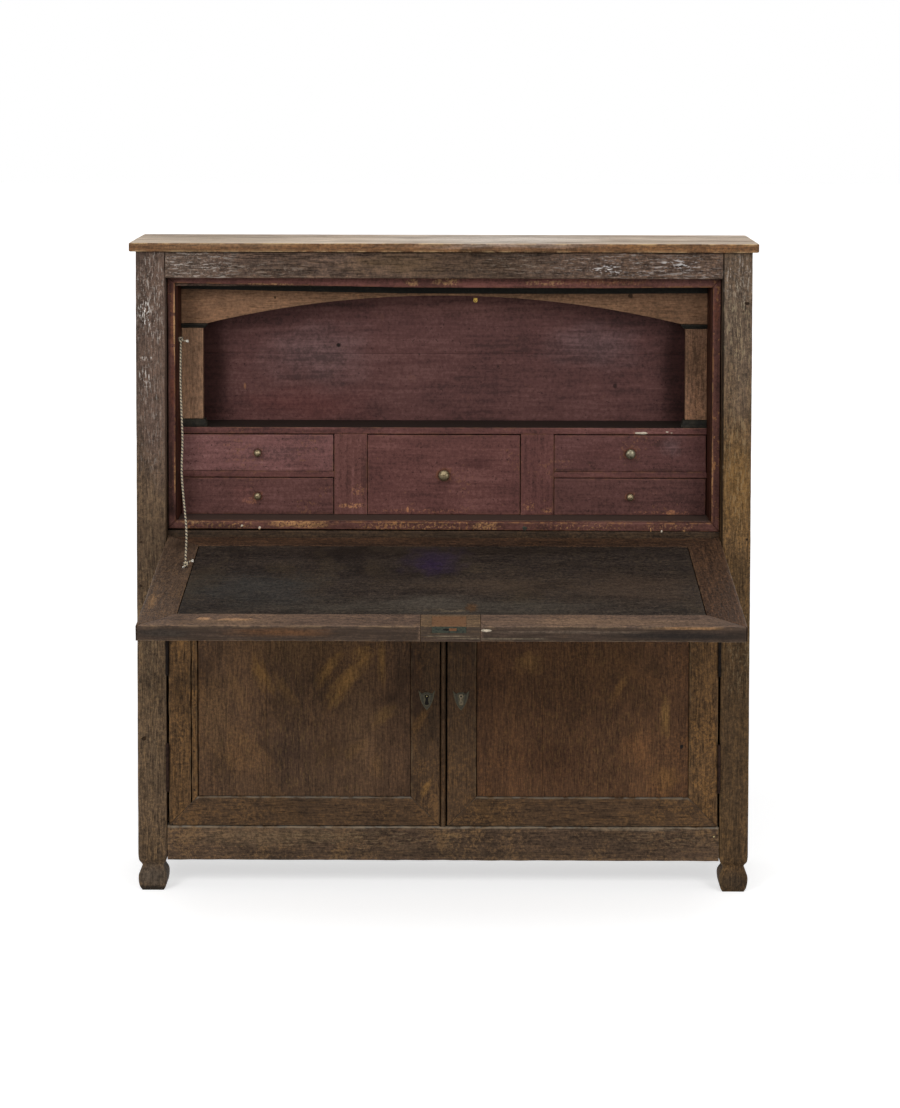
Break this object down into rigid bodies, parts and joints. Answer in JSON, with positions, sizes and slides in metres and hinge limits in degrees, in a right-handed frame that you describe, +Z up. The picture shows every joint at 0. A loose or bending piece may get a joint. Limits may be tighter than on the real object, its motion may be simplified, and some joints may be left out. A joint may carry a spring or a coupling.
{
  "type": "desk cabinet",
  "caption": "Shallow fall-front writing cabinet: a framed flap on a rope stay opens before an arched gallery of small drawers, above a cupboard with framed doors.",
  "frame": {"origin": "on the floor, under the middle of the overall box with the flap let down: the cabinet's middle from left to right, 137 mm in front of the front face", "axes": "+Z up, the front with its flap and doors toward -Y, +X to the right of someone who faces it"},
  "size_m": [1.285, 0.7866, 1.344],
  "materials": {
    "aged_oak": "grey-brown oak, dull and worn at the edges",
    "top_oak": "paler worn oak",
    "door_oak": "dark brown oak with a soft wax sheen",
    "flap_oak": "dark oak, rubbed along the edges",
    "flap_board": "blackened writing panel with an ink stain",
    "red_paint": "thin worn dull red paint on wood",
    "pale_wood": "tan wood, lightly stained",
    "black_paint": "black paint on wood, rubbed",
    "rough_back": "rough unfinished board",
    "brass": "worn brass",
    "dark_bronze": "dark tarnished brass",
    "rusty_iron": "brown rusted iron",
    "rope_fibre": "twisted grey-brown cord"
  },
  "bodies": {
    "carcass": {"top_board": "top_oak", "front_stile_left": "aged_oak", "front_stile_right": "aged_oak", "side_plank_left": "aged_oak", "side_plank_right": "aged_oak", "top_rail": "aged_oak", "middle_rail": "aged_oak", "bottom_rail": "aged_oak", "back_board_lower": "rough_back", "back_board_upper": "red_paint", "writing_floor": "red_paint", "cupboard_floor": "rough_back", "liner_left": "red_paint", "liner_right": "red_paint", "stop_strip_bottom": "red_paint", "stop_strip_top": "red_paint", "stop_strip_left": "red_paint", "stop_strip_right": "red_paint", "gallery_shelf": "red_paint", "drawer_runner_left": "red_paint", "drawer_runner_right": "red_paint", "gallery_divider_left": "red_paint", "gallery_divider_right": "red_paint", "pilaster_base_left": "black_paint", "pilaster_base_right": "black_paint", "pilaster_left": "pale_wood", "pilaster_right": "pale_wood", "pilaster_capital_left": "black_paint", "pilaster_capital_right": "black_paint", "arch_board": "pale_wood", "flap_pivot_left": "rusty_iron", "flap_pivot_right": "rusty_iron", "stay_rope": "rope_fibre", "door_hinge_left_lower": "rusty_iron", "door_hinge_left_upper": "rusty_iron", "door_hinge_right_lower": "rusty_iron", "door_hinge_right_upper": "rusty_iron"},
    "flap": {"flap_hinge_member": "flap_oak", "flap_top_member": "flap_oak", "flap_left_member": "flap_oak", "flap_right_member": "flap_oak", "flap_panel": "flap_board", "flap_lock": "rusty_iron"},
    "door_left": {"door_left_frame": "door_oak", "door_left_panel": "door_oak", "door_left_escutcheon": "dark_bronze", "door_left_astragal": "door_oak"},
    "door_right": {"door_right_frame": "door_oak", "door_right_panel": "door_oak", "door_right_escutcheon": "dark_bronze"},
    "drawer_upper_left_body": {"drawer_upper_left": "red_paint", "knob_upper_left": "brass"},
    "drawer_lower_left_body": {"drawer_lower_left": "red_paint", "knob_lower_left": "brass"},
    "drawer_centre_body": {"drawer_centre": "red_paint", "knob_centre": "brass"},
    "drawer_upper_right_body": {"drawer_upper_right": "red_paint", "knob_upper_right": "brass"},
    "drawer_lower_right_body": {"drawer_lower_right": "red_paint", "knob_lower_right": "brass"}
  },
  "joints": [
    {"name": "flap_fall", "type": "hinge", "parent": "carcass", "child": "flap", "pos_m": [0, 0.15349, 0.72], "axis": [1, 0, 0], "range_deg": [-96.95, 0], "deforming": ["stay_rope"]},
    {"name": "door_left_swing", "type": "hinge", "parent": "carcass", "child": "door_left", "pos_m": [-0.56785, 0.13359, 0.381], "axis": [0, 0, -1], "range_deg": [0, 100]},
    {"name": "door_right_swing", "type": "hinge", "parent": "carcass", "child": "door_right", "pos_m": [0.56785, 0.13359, 0.381], "axis": [0, 0, 1], "range_deg": [0, 100]},
    {"name": "drawer_upper_left_slide", "type": "slide", "parent": "carcass", "child": "drawer_upper_left_body", "axis": [0, -1, 0], "range_m": [0, 0.085]},
    {"name": "drawer_lower_left_slide", "type": "slide", "parent": "carcass", "child": "drawer_lower_left_body", "axis": [0, -1, 0], "range_m": [0, 0.085]},
    {"name": "drawer_centre_slide", "type": "slide", "parent": "carcass", "child": "drawer_centre_body", "axis": [0, -1, 0], "range_m": [0, 0.085]},
    {"name": "drawer_upper_right_slide", "type": "slide", "parent": "carcass", "child": "drawer_upper_right_body", "axis": [0, -1, 0], "range_m": [0, 0.085]},
    {"name": "drawer_lower_right_slide", "type": "slide", "parent": "carcass", "child": "drawer_lower_right_body", "axis": [0, -1, 0], "range_m": [0, 0.085]}
  ]
}
